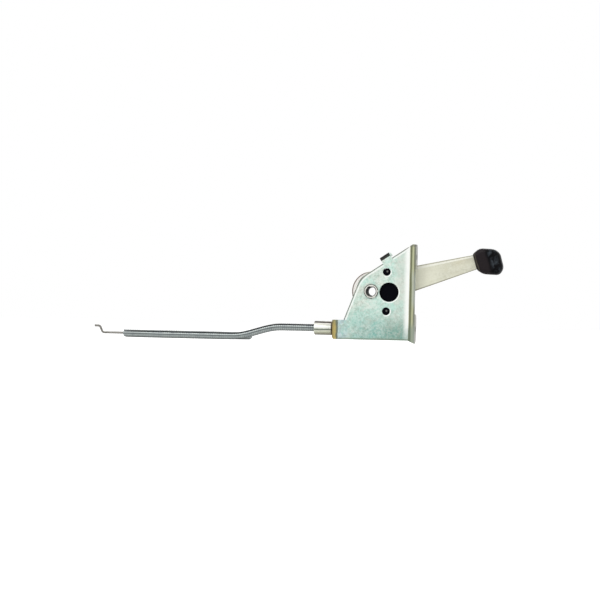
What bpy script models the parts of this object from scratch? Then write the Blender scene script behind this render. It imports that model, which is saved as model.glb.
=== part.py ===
"""Lever throttle control with a Bowden cable, for a mower or a small engine.

The bracket stands on edge: X runs from the cable to the knob, Y from the plate's front to its
back, Z up. The origin is the middle of the plate's bottom edge, straight below the pivot.
"""

import math

import bmesh
import bpy
from mathutils import Matrix, Vector

# Sheet and clearances, in metres
sheet = 0.002
seat_gap = 0.0003
bend_radius = 0.004  # outside of every bend
trim = 0.01  # how far a cutter reaches past what it trims

# Bracket, seen from the front
pivot_z = 0.033
plate_left = -0.0268
plate_right = 0.0297
plate_slope_foot = -0.0185
plate_shoulder = (-0.0077, 0.0417)
shoulder_radius = 0.009
slant_angle = math.radians(34)
tab_height = 0.0132
flange_depth = 0.015
ear_drop = 0.002
lower_ear_top = 0.018
upper_ear_foot = 0.0487
upper_ear_top = 0.0656
ear_corner = 0.004
notch_corner = 0.0015
ear_hole_radius = 0.0024
ear_hole_depth = 0.0095  # from the plate's front face

# Stop tab on the slanted edge
stop_width = 0.0072
stop_along = 0.0185  # from the shoulder, along the slanted edge
stop_proud = 0.0045
stop_depth = 0.0185
stop_bend = 0.0025  # outside of its bend

# Holes in the plate
window_radius = 0.0066
window_centre = (0.0122, 0.0327)
peg_hole_radius = 0.0027
upper_peg = (0.0104, 0.0465)
lower_peg = (0.0104, 0.0197)

# Pivot
rivet_radius = 0.004
rivet_bore = 0.0032
rivet_head_radius = 0.0049
rivet_head = 0.0008
rivet_edge = 0.0003
rivet_roll_radius = 0.0056
washer_radius = 0.0095
washer = 0.001
spring_washer = 0.0005
spring_wave = 0.0003

# Friction pad
pad = 0.0025
pad_radius = 0.0085
pad_margin = 0.005
pad_corner = 0.002
pad_slope = 0.0035  # from the upper peg and from the pivot to the slanted side
peg_set_back = 0.0004  # behind the plate's front face

# Lever, in its own frame: along the arm from the pivot, and across
arm_angle = math.radians(16.1)
disc_radius = 0.0137
arm_half_root = 0.0105
arm_half_tip = 0.005
arm_rise = 0.0016  # of the arm's middle line above the pivot
arm_length = 0.072  # pivot to knob
arm_tang = 0.0115
tang_taper = 0.0006
tang_step = 0.0006  # the arm narrows by this where the knob begins
ramp_start = 0.0135
ramp_end = 0.024
arm_offset = 0.0104  # set back of the arm behind the disc
crank_lean = math.radians(4.5)
crank_half_root = 0.0065
crank_tip_radius = 0.005
crank_slack = 0.985  # the hook's middle place in its slot, as a share of the drop
slot_clearance = 0.00035
swing = math.radians(22.5)  # each way from the crank straight down

# Knob
knob_length = 0.018
knob_depth = 0.014
knob_half_neck = 0.0056
knob_crown = (0.0058, 0.0081)  # highest corner, past the neck and above the arm's middle
knob_heel = (0.0034, -0.0101)
knob_far_top = 0.0029
knob_far_foot = -0.0145
knob_corner = 0.004
knob_neck_corner = 0.002
knob_edge = 0.002

# Cable
cable_z = 0.0074
cable_behind = 0.0087  # from the plate's front face
conduit_diameter = 0.005
conduit_bore = 0.0024
wire_diameter = 0.0016
ferrule_length = 0.0123
ferrule_radius = 0.0048
ferrule_edge = 0.0004
ferrule_neck_radius = 0.0029
ferrule_neck_bore = 0.0013
ferrule_lip = 0.0008
ferrule_lip_overlap = 0.0011  # past the tab's hole
tab_end_radius = 0.0047
straight_start = 0.0323
droop_end = -0.096
coil_centre_x = -0.135
coil_radius = 0.043
coil_half_chord = 0.0215
coil_edge = 0.001
far_sleeve_start = -0.163
conduit_far_end = -0.190
wire_start_length = 0.012  # wire inside the first straight sleeve
wire_reach = 0.015
wire_inside = 0.0155
z_bend_height = 0.0048
z_bend_stub = 0.0045
z_bend_slope = 0.001
stub_length = 0.005
wire_bend = 0.0014

# Derived places
front = -sheet / 2
back = sheet / 2
floor_z = -ear_drop
pad_front = back + seat_gap
pad_back = pad_front + pad
lever_front = pad_back + seat_gap
lever_back = lever_front + sheet
spring_front = lever_back + seat_gap
spring_back = spring_front + spring_washer + 2 * spring_wave
washer_front = spring_back + seat_gap
washer_back = washer_front + washer
roll_front = washer_back + seat_gap
arm_mid_y = lever_front + arm_offset + sheet / 2
lever_reach = pivot_z + trim
cable_y = front + cable_behind
coil_z = floor_z + conduit_diameter / 2
crank_drop = pivot_z - cable_z
tab_hole_radius = ferrule_neck_radius + seat_gap
ferrule_right = plate_left - seat_gap
ferrule_left = ferrule_right - ferrule_length
conduit_start_x = ferrule_left + 0.75 * ferrule_length
straight_end = conduit_start_x - straight_start
cable_per_turn = crank_drop * math.tan(swing) / swing * crank_slack
wire_hook_x = cable_per_turn * crank_lean


def colour(name, rgb, metallic, roughness):
    material = bpy.data.materials.new(name)
    material.use_nodes = True
    shader = material.node_tree.nodes["Principled BSDF"]
    shader.inputs["Base Color"].default_value = (*rgb, 1)
    shader.inputs["Metallic"].default_value = metallic
    shader.inputs["Roughness"].default_value = roughness
    return material


def make_collection(name, hidden=False):
    collection = bpy.data.collections.new(name)
    collection.hide_render = hidden
    bpy.context.scene.collection.children.link(collection)
    return collection


def add_object(name, data, collection):
    obj = bpy.data.objects.new(name, data)
    collection.objects.link(obj)
    return obj


def as_cutter(obj):
    obj.hide_render = True
    obj.display_type = "WIRE"
    return obj


def combine(obj, other, operation):
    modifier = obj.modifiers.new(operation.title(), "BOOLEAN")
    modifier.operation = operation
    modifier.object = other
    return obj


def smooth(obj, material, angle=30):
    obj.data.shade_smooth()
    obj.data.set_sharp_from_angle(angle=math.radians(angle))
    obj.data.materials.append(material)
    return obj


def arc(centre, radius, start, end, steps):
    """Points of an arc from one angle to another, both in degrees."""
    angles = [math.radians(start + (end - start) * i / steps) for i in range(steps + 1)]
    return [
        (centre[0] + radius * math.cos(a), centre[1] + radius * math.sin(a))
        for a in angles
    ]


def fillet(corners, steps=8):
    """An outline from corners (x, y, radius), each rounded by its radius."""
    outline = []
    for i, (x, y, radius) in enumerate(corners):
        here = Vector((x, y))
        if radius <= 0:
            outline.append((x, y))
            continue
        into = (here - Vector(corners[i - 1][:2])).normalized()
        out = (Vector(corners[(i + 1) % len(corners)][:2]) - here).normalized()
        turn = into.angle_signed(out)
        reach = radius * math.tan(abs(turn) / 2)
        side = Vector((-into.y, into.x)) * (-1 if turn > 0 else 1)
        centre = here - into * reach + side * radius
        spoke = -side * radius
        for k in range(steps + 1):
            spun = spoke.copy()
            spun.rotate(Matrix.Rotation(-turn * k / steps, 2))
            outline.append(tuple(centre + spun))
    return outline


def prism(name, outlines, thickness, frame, collection):
    """A flat outline made solid, with its middle plane in the given frame."""
    curve = bpy.data.curves.new(name, "CURVE")
    curve.dimensions = "2D"
    curve.fill_mode = "BOTH"
    curve.extrude = thickness / 2
    for outline in outlines:
        spline = curve.splines.new("POLY")
        spline.points.add(len(outline) - 1)
        for point, (x, y) in zip(spline.points, outline):
            point.co = (x, y, 0, 1)
        spline.use_cyclic_u = True
    source = add_object(name + "_curve", curve, collection)
    bpy.context.view_layer.update()
    mesh = bpy.data.meshes.new_from_object(
        source.evaluated_get(bpy.context.evaluated_depsgraph_get())
    )
    bpy.data.objects.remove(source)
    shape = bmesh.new()
    shape.from_mesh(mesh)
    bmesh.ops.remove_doubles(shape, verts=shape.verts, dist=1e-6)
    bmesh.ops.recalc_face_normals(shape, faces=shape.faces)
    shape.to_mesh(mesh)
    shape.free()
    mesh.transform(frame)
    return add_object(name, mesh, collection)


def facing_front(y):
    """Outline (x, z) in a plane across Y."""
    return Matrix.Translation((0, y, 0)) @ Matrix.Rotation(math.pi / 2, 4, "X")


def facing_side(x):
    """Outline (y, z) in a plane across X."""
    turn = Matrix(((0, 0, 1, 0), (1, 0, 0, 0), (0, 1, 0, 0), (0, 0, 0, 1)))
    return Matrix.Translation((x, 0, 0)) @ turn


def facing_up(z):
    """Outline (x, y) in a plane across Z."""
    return Matrix.Translation((0, 0, z))


def turned(name, profile, frame, collection, steps=40):
    """A solid turned about the frame's Z axis, from its section (radius, height).

    The section runs down its outer side, and it is closed unless it ends on the axis.
    """
    mesh = bpy.data.meshes.new(name)
    count = len(profile)
    on_axis = min(radius for radius, height in profile) == 0
    edges = [(i, (i + 1) % count) for i in range(count - 1 if on_axis else count)]
    mesh.from_pydata([(r, 0, h) for r, h in profile], edges, [])
    obj = add_object(name, mesh, collection)
    screw = obj.modifiers.new("Screw", "SCREW")
    screw.steps = steps
    screw.render_steps = steps
    screw.use_merge_vertices = True
    screw.merge_threshold = 0.00001
    obj.matrix_world = frame
    return obj


def axis_frame(centre, axis):
    """A frame at a point with its Z along an axis."""
    turn = Vector(axis).to_track_quat("Z", "Y").to_matrix().to_4x4()
    return Matrix.Translation(centre) @ turn


def hole(name, centre, radius, axis, length, collection):
    bpy.ops.mesh.primitive_cylinder_add(vertices=40, radius=radius, depth=length)
    obj = bpy.context.object
    obj.name = name
    for old in obj.users_collection:
        old.objects.unlink(obj)
    collection.objects.link(obj)
    obj.data.transform(axis_frame(centre, axis))
    return as_cutter(obj)


def rod(name, points, radius, material, collection, resolution=2):
    curve = bpy.data.curves.new(name, "CURVE")
    curve.dimensions = "3D"
    curve.bevel_depth = radius
    curve.bevel_resolution = resolution
    curve.use_fill_caps = True
    spline = curve.splines.new("POLY")
    spline.points.add(len(points) - 1)
    for point, place in zip(spline.points, points):
        point.co = (*place, 1)
    spline.use_smooth = True
    curve.materials.append(material)
    return add_object(name, curve, collection)


def rounded_route(corners, steps=5):
    """Straight runs in space with each inner corner (point, radius) bent to its radius."""
    route = [Vector(corners[0][0])]
    for before, (corner, radius), after in zip(corners, corners[1:], corners[2:]):
        corner = Vector(corner)
        into = (corner - Vector(before[0])).normalized()
        out = (Vector(after[0]) - corner).normalized()
        turn = into.angle(out)
        reach = radius * math.tan(turn / 2)
        side = (out - into * into.dot(out)).normalized()
        centre = corner - into * reach + side * radius
        for k in range(steps + 1):
            a = turn * k / steps
            route.append(centre + (into * math.sin(a) - side * math.cos(a)) * radius)
    route.append(Vector(corners[-1][0]))
    return route


def slant_point(along, out):
    """A point from the shoulder along the slanted edge and out from it, as (x, z)."""
    c, s = math.cos(slant_angle), math.sin(slant_angle)
    return (
        plate_shoulder[0] + along * c - out * s,
        plate_shoulder[1] + along * s + out * c,
    )


def make_bent_sheet(collection):
    """The plate with its left and right legs bent back, over the full height."""
    inner = bend_radius - sheet
    rear = front + flange_depth
    section = [
        (plate_left, rear, 0),
        (plate_left, front, bend_radius),
        (plate_right, front, bend_radius),
        (plate_right, rear, 0),
        (plate_right - sheet, rear, 0),
        (plate_right - sheet, back, inner),
        (plate_left + sheet, back, inner),
        (plate_left + sheet, rear, 0),
    ]
    height = upper_ear_top + 2 * trim
    return prism(
        "bracket", [fillet(section)], height, facing_up(height / 2 - trim), collection
    )


def make_front_outline(collection):
    """What the front view keeps of the bent sheet."""
    outside = bend_radius
    bend_start = plate_right - bend_radius
    far = (plate_right + outside - plate_shoulder[0]) / math.cos(slant_angle)
    corners = [
        (plate_left - outside, 0, 0),
        (bend_start, 0, 0),
        (plate_right, -ear_drop, 0),
        (plate_right + outside, -ear_drop, 0),
        (*slant_point(far, 0), 0),
        (*plate_shoulder, shoulder_radius),
        (plate_slope_foot, tab_height, 0),
        (plate_left - outside, tab_height, 0),
    ]
    depth = 2 * flange_depth + trim
    return as_cutter(
        prism("bracket_front", [fillet(corners)], depth, facing_front(0), collection)
    )


def make_ear_frame(collection):
    """A frame that trims the right leg to two rounded ears."""
    rear = front + flange_depth
    root = front + bend_radius
    kept = [
        (front - bend_radius, -ear_drop, 0),
        (rear, -ear_drop, ear_corner),
        (rear, lower_ear_top, ear_corner),
        (root, lower_ear_top, notch_corner),
        (root, upper_ear_foot, notch_corner),
        (rear, upper_ear_foot, ear_corner),
        (rear, upper_ear_top, ear_corner),
        (front - bend_radius, upper_ear_top, 0),
    ]
    around = [(-trim, -2 * trim), (3 * trim, -2 * trim), (3 * trim, 9 * trim), (-trim, 9 * trim)]
    middle = plate_right - bend_radius / 2
    width = bend_radius + sheet
    return as_cutter(
        prism(
            "bracket_ears",
            [around, fillet(kept)],
            width,
            facing_side(middle),
            collection,
        )
    )


def make_cable_tab_frame(collection):
    """A frame that trims the left leg to a tab with a round end."""
    half = tab_end_radius
    root = front + bend_radius
    end = arc((cable_y, cable_z), half, -90, 90, 12)
    kept = [
        (front - bend_radius, -sheet / 2),
        (front, -sheet / 2),
        (root, cable_z - half),
        *end,
        (root, cable_z + half),
        (front, tab_height + sheet / 2),
        (front - bend_radius, tab_height + sheet / 2),
    ]
    around = [(-trim, -2 * trim), (3 * trim, -2 * trim), (3 * trim, 9 * trim), (-trim, 9 * trim)]
    width = bend_radius + sheet
    middle = plate_left + bend_radius / 2
    return as_cutter(
        prism("bracket_tab", [around, kept], width, facing_side(middle), collection)
    )


def make_stop_tab(collection):
    """The tab that stands out of the slanted edge and bends back over the lever."""
    rear = front + stop_depth
    foot = -1.5 * sheet
    section = [
        (foot, front, 0),
        (stop_proud, front, stop_bend),
        (stop_proud, rear, 0),
        (stop_proud - sheet, rear, 0),
        (stop_proud - sheet, back, stop_bend - sheet),
        (foot, back, 0),
    ]
    c, s = math.cos(slant_angle), math.sin(slant_angle)
    x, z = slant_point(stop_along + stop_width / 2, 0)
    frame = Matrix(((-s, 0, -c, x), (0, 1, 0, 0), (c, 0, -s, z), (0, 0, 0, 1)))
    return as_cutter(
        prism("bracket_stop", [fillet(section)], stop_width, frame, collection)
    )


def make_bracket(material, parts, cutters):
    bracket = make_bent_sheet(parts)
    combine(bracket, make_front_outline(cutters), "INTERSECT")
    combine(bracket, make_ear_frame(cutters), "DIFFERENCE")
    combine(bracket, make_cable_tab_frame(cutters), "DIFFERENCE")
    combine(bracket, make_stop_tab(cutters), "UNION")
    across = 3 * sheet
    holes = [
        ("pivot_hole", (0, 0, pivot_z), rivet_radius + seat_gap, (0, 1, 0)),
        ("window", (window_centre[0], 0, window_centre[1]), window_radius, (0, 1, 0)),
        ("upper_hole", (upper_peg[0], 0, upper_peg[1]), peg_hole_radius, (0, 1, 0)),
        ("lower_hole", (lower_peg[0], 0, lower_peg[1]), peg_hole_radius, (0, 1, 0)),
        (
            "tab_hole",
            (plate_left + sheet / 2, cable_y, cable_z),
            tab_hole_radius,
            (1, 0, 0),
        ),
    ]
    lower_mid = (lower_ear_top - ear_drop) / 2
    upper_mid = (upper_ear_top + upper_ear_foot) / 2
    for name, z in (("lower_ear_hole", lower_mid), ("upper_ear_hole", upper_mid)):
        place = (plate_right - sheet / 2, front + ear_hole_depth, z)
        holes.append((name, place, ear_hole_radius, (1, 0, 0)))
    for name, place, radius, axis in holes:
        combine(
            bracket, hole(name, place, radius, axis, across, cutters), "DIFFERENCE"
        )
    return smooth(bracket, material)


def make_rivet(material, parts):
    """Hollow rivet: a flat head in front, the tube, and a rolled end behind."""
    head_front = front - seat_gap - rivet_head
    end = roll_front + rivet_head
    edge = rivet_edge
    profile = [
        (rivet_roll_radius - edge, end),
        (rivet_roll_radius, roll_front),
        (rivet_radius, roll_front),
        (rivet_radius, front - seat_gap),
        (rivet_head_radius, front - seat_gap),
        (rivet_head_radius, head_front + edge),
        (rivet_head_radius - edge, head_front),
        (rivet_bore + edge, head_front),
        (rivet_bore, head_front + edge),
        (rivet_bore, end),
    ]
    frame = axis_frame((0, 0, pivot_z), (0, 1, 0))
    rivet = turned("pivot_rivet", profile, frame, parts)
    return smooth(rivet, material)


def ring_section(inner, outer, low, high):
    return [(outer, high), (outer, low), (inner, low), (inner, high)]


def make_washers(material, parts):
    bore = rivet_radius + seat_gap
    frame = axis_frame((0, 0, pivot_z), (0, 1, 0))
    flat = turned(
        "flat_washer",
        ring_section(bore, washer_radius, washer_front, washer_back),
        frame,
        parts,
    )
    smooth(flat, material)
    low = spring_front + spring_wave
    wave = turned(
        "wave_washer",
        ring_section(bore, washer_radius, low, low + spring_washer),
        frame,
        parts,
        48,
    )
    bpy.context.view_layer.update()
    mesh = bpy.data.meshes.new_from_object(
        wave.evaluated_get(bpy.context.evaluated_depsgraph_get())
    )
    for vertex in mesh.vertices:
        angle = math.atan2(vertex.co.y, vertex.co.x)
        vertex.co.z += spring_wave * math.cos(3 * angle)
    wave.modifiers.clear()
    wave.data = mesh
    smooth(wave, material)
    return flat, wave


def make_friction_pad(material, parts, cutters):
    """Moulded pad round the rivet and behind the window, with two pegs in the plate."""
    right = window_centre[0] + window_radius + pad_corner
    top = upper_peg[1] + pad_margin
    foot = lower_peg[1] - pad_margin
    left = lower_peg[0] - pad_margin
    corners = [
        (left, foot, pad_corner),
        (right, foot, pad_corner),
        (right, top, pad_corner),
        (upper_peg[0] - pad_slope, top - pad_slope, pad_corner),
        (-pad_radius, pivot_z + pad_slope, pad_margin),
        (-pad_radius, pivot_z - pad_radius, pad_margin),
    ]
    middle = (pad_front + pad_back) / 2
    body = prism(
        "friction_pad", [fillet(corners)], pad, facing_front(middle), parts
    )
    for name, (x, z) in (("upper_pad_peg", upper_peg), ("lower_pad_peg", lower_peg)):
        peg_front = front + peg_set_back
        reach = pad_back - peg_set_back - peg_front
        place = (x, peg_front + reach / 2, z)
        radius = peg_hole_radius - seat_gap
        combine(body, hole(name, place, radius, (0, 1, 0), reach, cutters), "UNION")
    bore = hole(
        "pad_bore",
        (0, middle, pivot_z),
        rivet_radius + seat_gap,
        (0, 1, 0),
        3 * pad,
        cutters,
    )
    combine(body, bore, "DIFFERENCE")
    return smooth(body, material)


def disc_angle(half):
    """Where an edge of the arm that starts this far from the pivot meets the disc."""
    lean = math.atan((arm_half_root - arm_half_tip) / arm_length)
    return 90 - math.degrees(lean + math.acos(half * math.cos(lean) / disc_radius))


def lever_outline():
    """Disc, arm and crank as one outline: x along the arm, z across it."""
    upper = disc_angle(arm_half_root + arm_rise)
    lower = disc_angle(arm_half_root - arm_rise)
    crank = -90 + math.degrees(crank_lean - arm_angle)
    offset = math.degrees(math.asin(crank_half_root / disc_radius))
    tip_at = crank_drop / math.cos(swing) * crank_slack
    direction = math.radians(crank)
    tip = (tip_at * math.cos(direction), tip_at * math.sin(direction))
    arm_end = arm_length + arm_tang
    tang = arm_half_tip - tang_step
    left = arc((0, 0), disc_radius, upper, 360 + crank - offset, 20)
    right = arc((0, 0), disc_radius, crank + offset, -lower, 6)
    round_tip = arc(tip, crank_tip_radius, crank - 90, crank + 90, 12)
    return [
        (arm_end, arm_rise + tang - tang_taper),
        (arm_length, arm_rise + tang),
        (arm_length, arm_rise + arm_half_tip),
        *left,
        *round_tip,
        *right,
        (arm_length, arm_rise - arm_half_tip),
        (arm_length, arm_rise - tang),
        (arm_end, arm_rise - tang + tang_taper),
    ]


def make_lever(material, parts, cutters):
    """One pressing: the flat sheet follows a joggled section, trimmed to the outline."""
    front_y = lever_front
    rear_y = lever_front + arm_offset
    arm_end = arm_length + arm_tang + trim
    bend = bend_radius - sheet
    section = [
        (-lever_reach, front_y, 0),
        (ramp_start, front_y, bend_radius),
        (ramp_end, rear_y, bend),
        (arm_end, rear_y, 0),
        (arm_end, rear_y + sheet, 0),
        (ramp_end - sheet * 0.4, rear_y + sheet, bend_radius),
        (ramp_start - sheet * 0.4, front_y + sheet, bend),
        (-lever_reach, front_y + sheet, 0),
    ]
    height = 2 * lever_reach
    lever = prism("throttle_lever", [fillet(section)], height, facing_up(0), parts)
    trimmer = prism(
        "lever_trim", [lever_outline()], height, facing_front(arm_mid_y), cutters
    )
    middle = (lever_front + lever_back) / 2
    bore = hole(
        "lever_bore",
        (0, middle, 0),
        rivet_radius + seat_gap,
        (0, 1, 0),
        3 * sheet,
        cutters,
    )
    slot = make_crank_slot(middle, cutters)
    pose = Matrix.Translation((0, 0, pivot_z)) @ Matrix.Rotation(-arm_angle, 4, "Y")
    for obj in (lever, as_cutter(trimmer), bore, slot):
        obj.matrix_world = pose
    combine(lever, trimmer, "INTERSECT")
    combine(lever, bore, "DIFFERENCE")
    combine(lever, slot, "DIFFERENCE")
    return smooth(lever, material)


def make_crank_slot(middle, cutters):
    """The slot that the wire's hook slides in as the crank swings."""
    near = crank_drop
    far = crank_drop / math.cos(swing)
    end = wire_diameter / 2 + slot_clearance
    corners = arc((near, 0), end, 90, 270, 10) + arc((far, 0), end, -90, 90, 10)
    slot = prism("crank_slot", [corners], 3 * sheet, facing_front(middle), cutters)
    turn = math.radians(90) - crank_lean + arm_angle
    slot.data.transform(Matrix.Rotation(turn, 4, "Y"))
    return as_cutter(slot)


def make_knob(material, parts, cutters):
    """Push-on knob: a block that hangs below the arm and narrows to a neck round its tang."""
    near = arm_length + seat_gap
    far = near + knob_length
    corners = [
        (near, -knob_half_neck, knob_neck_corner),
        (near + knob_heel[0], knob_heel[1], knob_corner),
        (far, knob_far_foot, knob_corner),
        (far, knob_far_top, knob_corner),
        (near + knob_crown[0], knob_crown[1], knob_corner),
        (near, knob_half_neck, knob_neck_corner),
    ]
    corners = [(x, z + arm_rise, radius) for x, z, radius in corners]
    knob = prism(
        "lever_knob", [fillet(corners)], knob_depth, facing_front(arm_mid_y), parts
    )
    bevel = knob.modifiers.new("Bevel", "BEVEL")
    bevel.width = knob_edge
    bevel.segments = 3
    bevel.limit_method = "ANGLE"
    bevel.angle_limit = math.radians(50)
    root = arm_half_tip - tang_step + seat_gap
    mouth = root + trim * tang_taper / arm_tang
    tip = root - tang_taper
    end = arm_length + arm_tang + seat_gap
    tang = [
        (arm_length - trim, arm_rise - mouth),
        (end, arm_rise - tip),
        (end, arm_rise + tip),
        (arm_length - trim, arm_rise + mouth),
    ]
    pocket = prism(
        "knob_pocket",
        [tang],
        sheet + 2 * seat_gap,
        facing_front(arm_mid_y),
        cutters,
    )
    pose = Matrix.Translation((0, 0, pivot_z)) @ Matrix.Rotation(-arm_angle, 4, "Y")
    for obj in (knob, as_cutter(pocket)):
        obj.matrix_world = pose
    combine(knob, pocket, "DIFFERENCE")
    return smooth(knob, material)


def make_ferrule(material, parts):
    """Turned ferrule: a socket for the conduit and a neck rolled over behind the tab."""
    socket = conduit_diameter / 2 + seat_gap
    socket_end = conduit_start_x + seat_gap
    lip_start = plate_left + sheet + seat_gap
    lip_end = lip_start + ferrule_lip
    edge = ferrule_edge
    lip_radius = tab_hole_radius + ferrule_lip_overlap
    profile = [
        (lip_radius - edge, lip_end),
        (lip_radius, lip_start),
        (ferrule_neck_radius, lip_start),
        (ferrule_neck_radius, ferrule_right),
        (ferrule_radius - edge, ferrule_right),
        (ferrule_radius, ferrule_right - edge),
        (ferrule_radius, ferrule_left + edge),
        (ferrule_radius - edge, ferrule_left),
        (socket, ferrule_left),
        (socket, socket_end),
        (ferrule_neck_bore, socket_end),
        (ferrule_neck_bore, lip_end),
    ]
    frame = axis_frame((0, cable_y, cable_z), (1, 0, 0))
    return smooth(turned("cable_ferrule", profile, frame, parts), material)


def make_sleeve(name, start, end, y, z, material, parts):
    """A straight hollow stretch of conduit between two places along X."""
    section = ring_section(conduit_bore / 2, conduit_diameter / 2, start, end)
    frame = axis_frame((0, y, z), (1, 0, 0))
    return smooth(turned(name, section, frame, parts, 16), material)


def make_conduit(material, parts):
    """The conduit: straight out of the ferrule, down to the floor, one flat coil and out."""
    radius = conduit_diameter / 2
    coil_y = cable_y + coil_radius
    far_y = cable_y + 2 * coil_radius
    make_sleeve(
        "conduit_start",
        straight_end,
        conduit_start_x,
        cable_y,
        cable_z,
        material,
        parts,
    )
    first = straight_end - seat_gap
    run_end = coil_centre_x + coil_half_chord
    count = math.ceil((first - run_end) / conduit_diameter)
    route = []
    for i in range(count + 1):
        x = first + (run_end - first) * i / count
        t = min(1, max(0, (first - x) / (first - droop_end)))
        drop = t * t * (3 - 2 * t)
        route.append((x, cable_y, cable_z + (coil_z - cable_z) * drop))
    rod("conduit_run", route, radius, material, parts)
    disc = coil_radius + radius
    height = floor_z + conduit_diameter
    coil = turned(
        "conduit_coil",
        [
            (0, height),
            (disc - coil_edge, height),
            (disc, height - coil_edge),
            (disc, floor_z),
            (0, floor_z),
        ],
        Matrix.Translation((coil_centre_x, coil_y, 0)),
        parts,
        48,
    )
    smooth(coil, material)
    tail_start = coil_centre_x - coil_half_chord
    tail = [
        (tail_start + (far_sleeve_start + seat_gap - tail_start) * i / 2, far_y, coil_z)
        for i in range(3)
    ]
    rod("conduit_tail", tail, radius, material, parts)
    make_sleeve(
        "conduit_end",
        conduit_far_end,
        far_sleeve_start,
        far_y,
        coil_z,
        material,
        parts,
    )


def make_wire(material, parts):
    """The two ends of the inner wire, each bent to a Z that hooks in a lever."""
    radius = wire_diameter / 2
    hook_y = (back + lever_front) / 2
    inner_end = conduit_start_x - wire_start_length
    hook = [
        ((inner_end, cable_y, cable_z), 0),
        ((wire_hook_x, cable_y, cable_z), wire_bend),
        ((wire_hook_x, hook_y, cable_z), wire_bend),
        ((wire_hook_x + stub_length, hook_y, cable_z), 0),
    ]
    near = rod("wire_lever_end", rounded_route(hook), radius, material, parts)
    far_y = cable_y + 2 * coil_radius
    bend_x = conduit_far_end - wire_reach
    top = coil_z + z_bend_height
    z_bend = [
        ((conduit_far_end + wire_inside, far_y, coil_z), 0),
        ((bend_x, far_y, coil_z), wire_bend),
        ((bend_x - z_bend_slope, far_y, top), wire_bend),
        ((bend_x - z_bend_slope - z_bend_stub, far_y, top), 0),
    ]
    far = rod("wire_carb_end", rounded_route(z_bend), radius, material, parts)
    return near, far


def main():
    for obj in list(bpy.data.objects):
        bpy.data.objects.remove(obj)
    parts = make_collection("throttle_control")
    cutters = make_collection("cutters", hidden=True)
    zinc = colour("bracket_zinc", (0.62, 0.66, 0.60), 0.85, 0.38)
    lever_zinc = colour("lever_zinc", (0.68, 0.66, 0.58), 0.8, 0.42)
    bright = colour("bright_zinc", (0.78, 0.77, 0.72), 0.9, 0.3)
    steel = colour("conduit_steel", (0.35, 0.38, 0.42), 0.85, 0.35)
    wire = colour("wire_steel", (0.45, 0.45, 0.46), 0.85, 0.4)
    black = colour("knob_black", (0.02, 0.02, 0.022), 0, 0.45)
    pad_black = colour("pad_black", (0.015, 0.015, 0.015), 0, 0.6)
    make_bracket(zinc, parts, cutters)
    make_rivet(bright, parts)
    make_washers(bright, parts)
    make_friction_pad(pad_black, parts, cutters)
    lever = make_lever(lever_zinc, parts, cutters)
    knob = make_knob(black, parts, cutters)
    pivot = add_object("lever_pivot", None, parts)
    pivot.location = (0, 0, pivot_z)
    bpy.context.view_layer.update()
    for obj in (lever, knob):
        obj.parent = pivot
        obj.matrix_parent_inverse = pivot.matrix_world.inverted()
    make_ferrule(bright, parts)
    make_conduit(steel, parts)
    make_wire(wire, parts)


main()
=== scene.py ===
import math

import bmesh
import bpy
import numpy as np
from mathutils import Matrix, Vector


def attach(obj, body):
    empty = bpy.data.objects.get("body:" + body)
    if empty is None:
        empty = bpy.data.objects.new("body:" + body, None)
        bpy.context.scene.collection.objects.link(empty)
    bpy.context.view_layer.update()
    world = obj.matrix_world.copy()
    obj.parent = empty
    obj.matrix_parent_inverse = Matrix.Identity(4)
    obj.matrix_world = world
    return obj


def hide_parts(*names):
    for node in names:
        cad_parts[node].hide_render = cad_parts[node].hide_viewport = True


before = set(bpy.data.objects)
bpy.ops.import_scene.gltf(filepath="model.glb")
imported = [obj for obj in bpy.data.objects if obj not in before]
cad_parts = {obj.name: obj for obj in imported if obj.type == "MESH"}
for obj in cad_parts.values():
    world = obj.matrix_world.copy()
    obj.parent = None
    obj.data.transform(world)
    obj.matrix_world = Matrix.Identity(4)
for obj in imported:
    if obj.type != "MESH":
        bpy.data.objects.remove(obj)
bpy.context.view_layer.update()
print("frame loaded")

# places on the control that several pieces share, in metres
control = {
    "pivotHeight": 0.033,
    "armAngle": math.radians(16.1),
    "armRise": 0.0016,  # of the arm's middle line above the pivot
    "cableDepth": 0.0077,
    "cableHeight": 0.0074,
    "floor": -0.002,
}

camera = {
    "azimuth": 8.0,
    "height": 0.012,  # nearly level with the cable on the floor
    "distance": 2.2,
    "frameWidth": 0.4085,  # what 600 pixels span at the pivot
    "sensor": 36.0,
    "roll": 1.3,  # the photograph leans a little clockwise
    "pivotPixel": (371.3, 291.4),
    "photo": 600,
}


def placeCamera(c):
    # a level camera far off, so that the coil on the floor hides behind its own first strand
    turn = math.radians(c["azimuth"])
    sight = Vector((-math.sin(turn), math.cos(turn), 0))
    right = Vector((math.cos(turn), math.sin(turn), 0))
    perPixel = c["frameWidth"] / c["photo"]
    roll = math.radians(c["roll"])
    across = (c["pivotPixel"][0] - c["photo"] / 2) * perPixel  # of the pivot from the middle
    above = (c["photo"] / 2 - c["pivotPixel"][1]) * perPixel
    rise = control["pivotHeight"] - c["height"]
    side = (across - math.sin(roll) * rise) / math.cos(roll)
    lift = math.cos(roll) * rise - math.sin(roll) * side
    data = bpy.data.cameras.new("camera")
    data.sensor_width = c["sensor"]
    data.lens = c["sensor"] * c["distance"] / c["frameWidth"]
    data.shift_y = (lift - above) / c["frameWidth"]
    data.clip_start, data.clip_end = 0.01, 50
    view = bpy.data.objects.new("camera", data)
    view.location = -right * side - sight * c["distance"]
    view.location.z = c["height"]
    facing = sight.to_track_quat("-Z", "Y").to_matrix().to_4x4()
    spin = facing @ Matrix.Rotation(roll, 4, "Z")
    view.rotation_euler = spin.to_euler()
    bpy.context.scene.collection.objects.link(view)
    bpy.context.scene.camera = view


placeCamera(camera)
print("camera placed")


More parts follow.
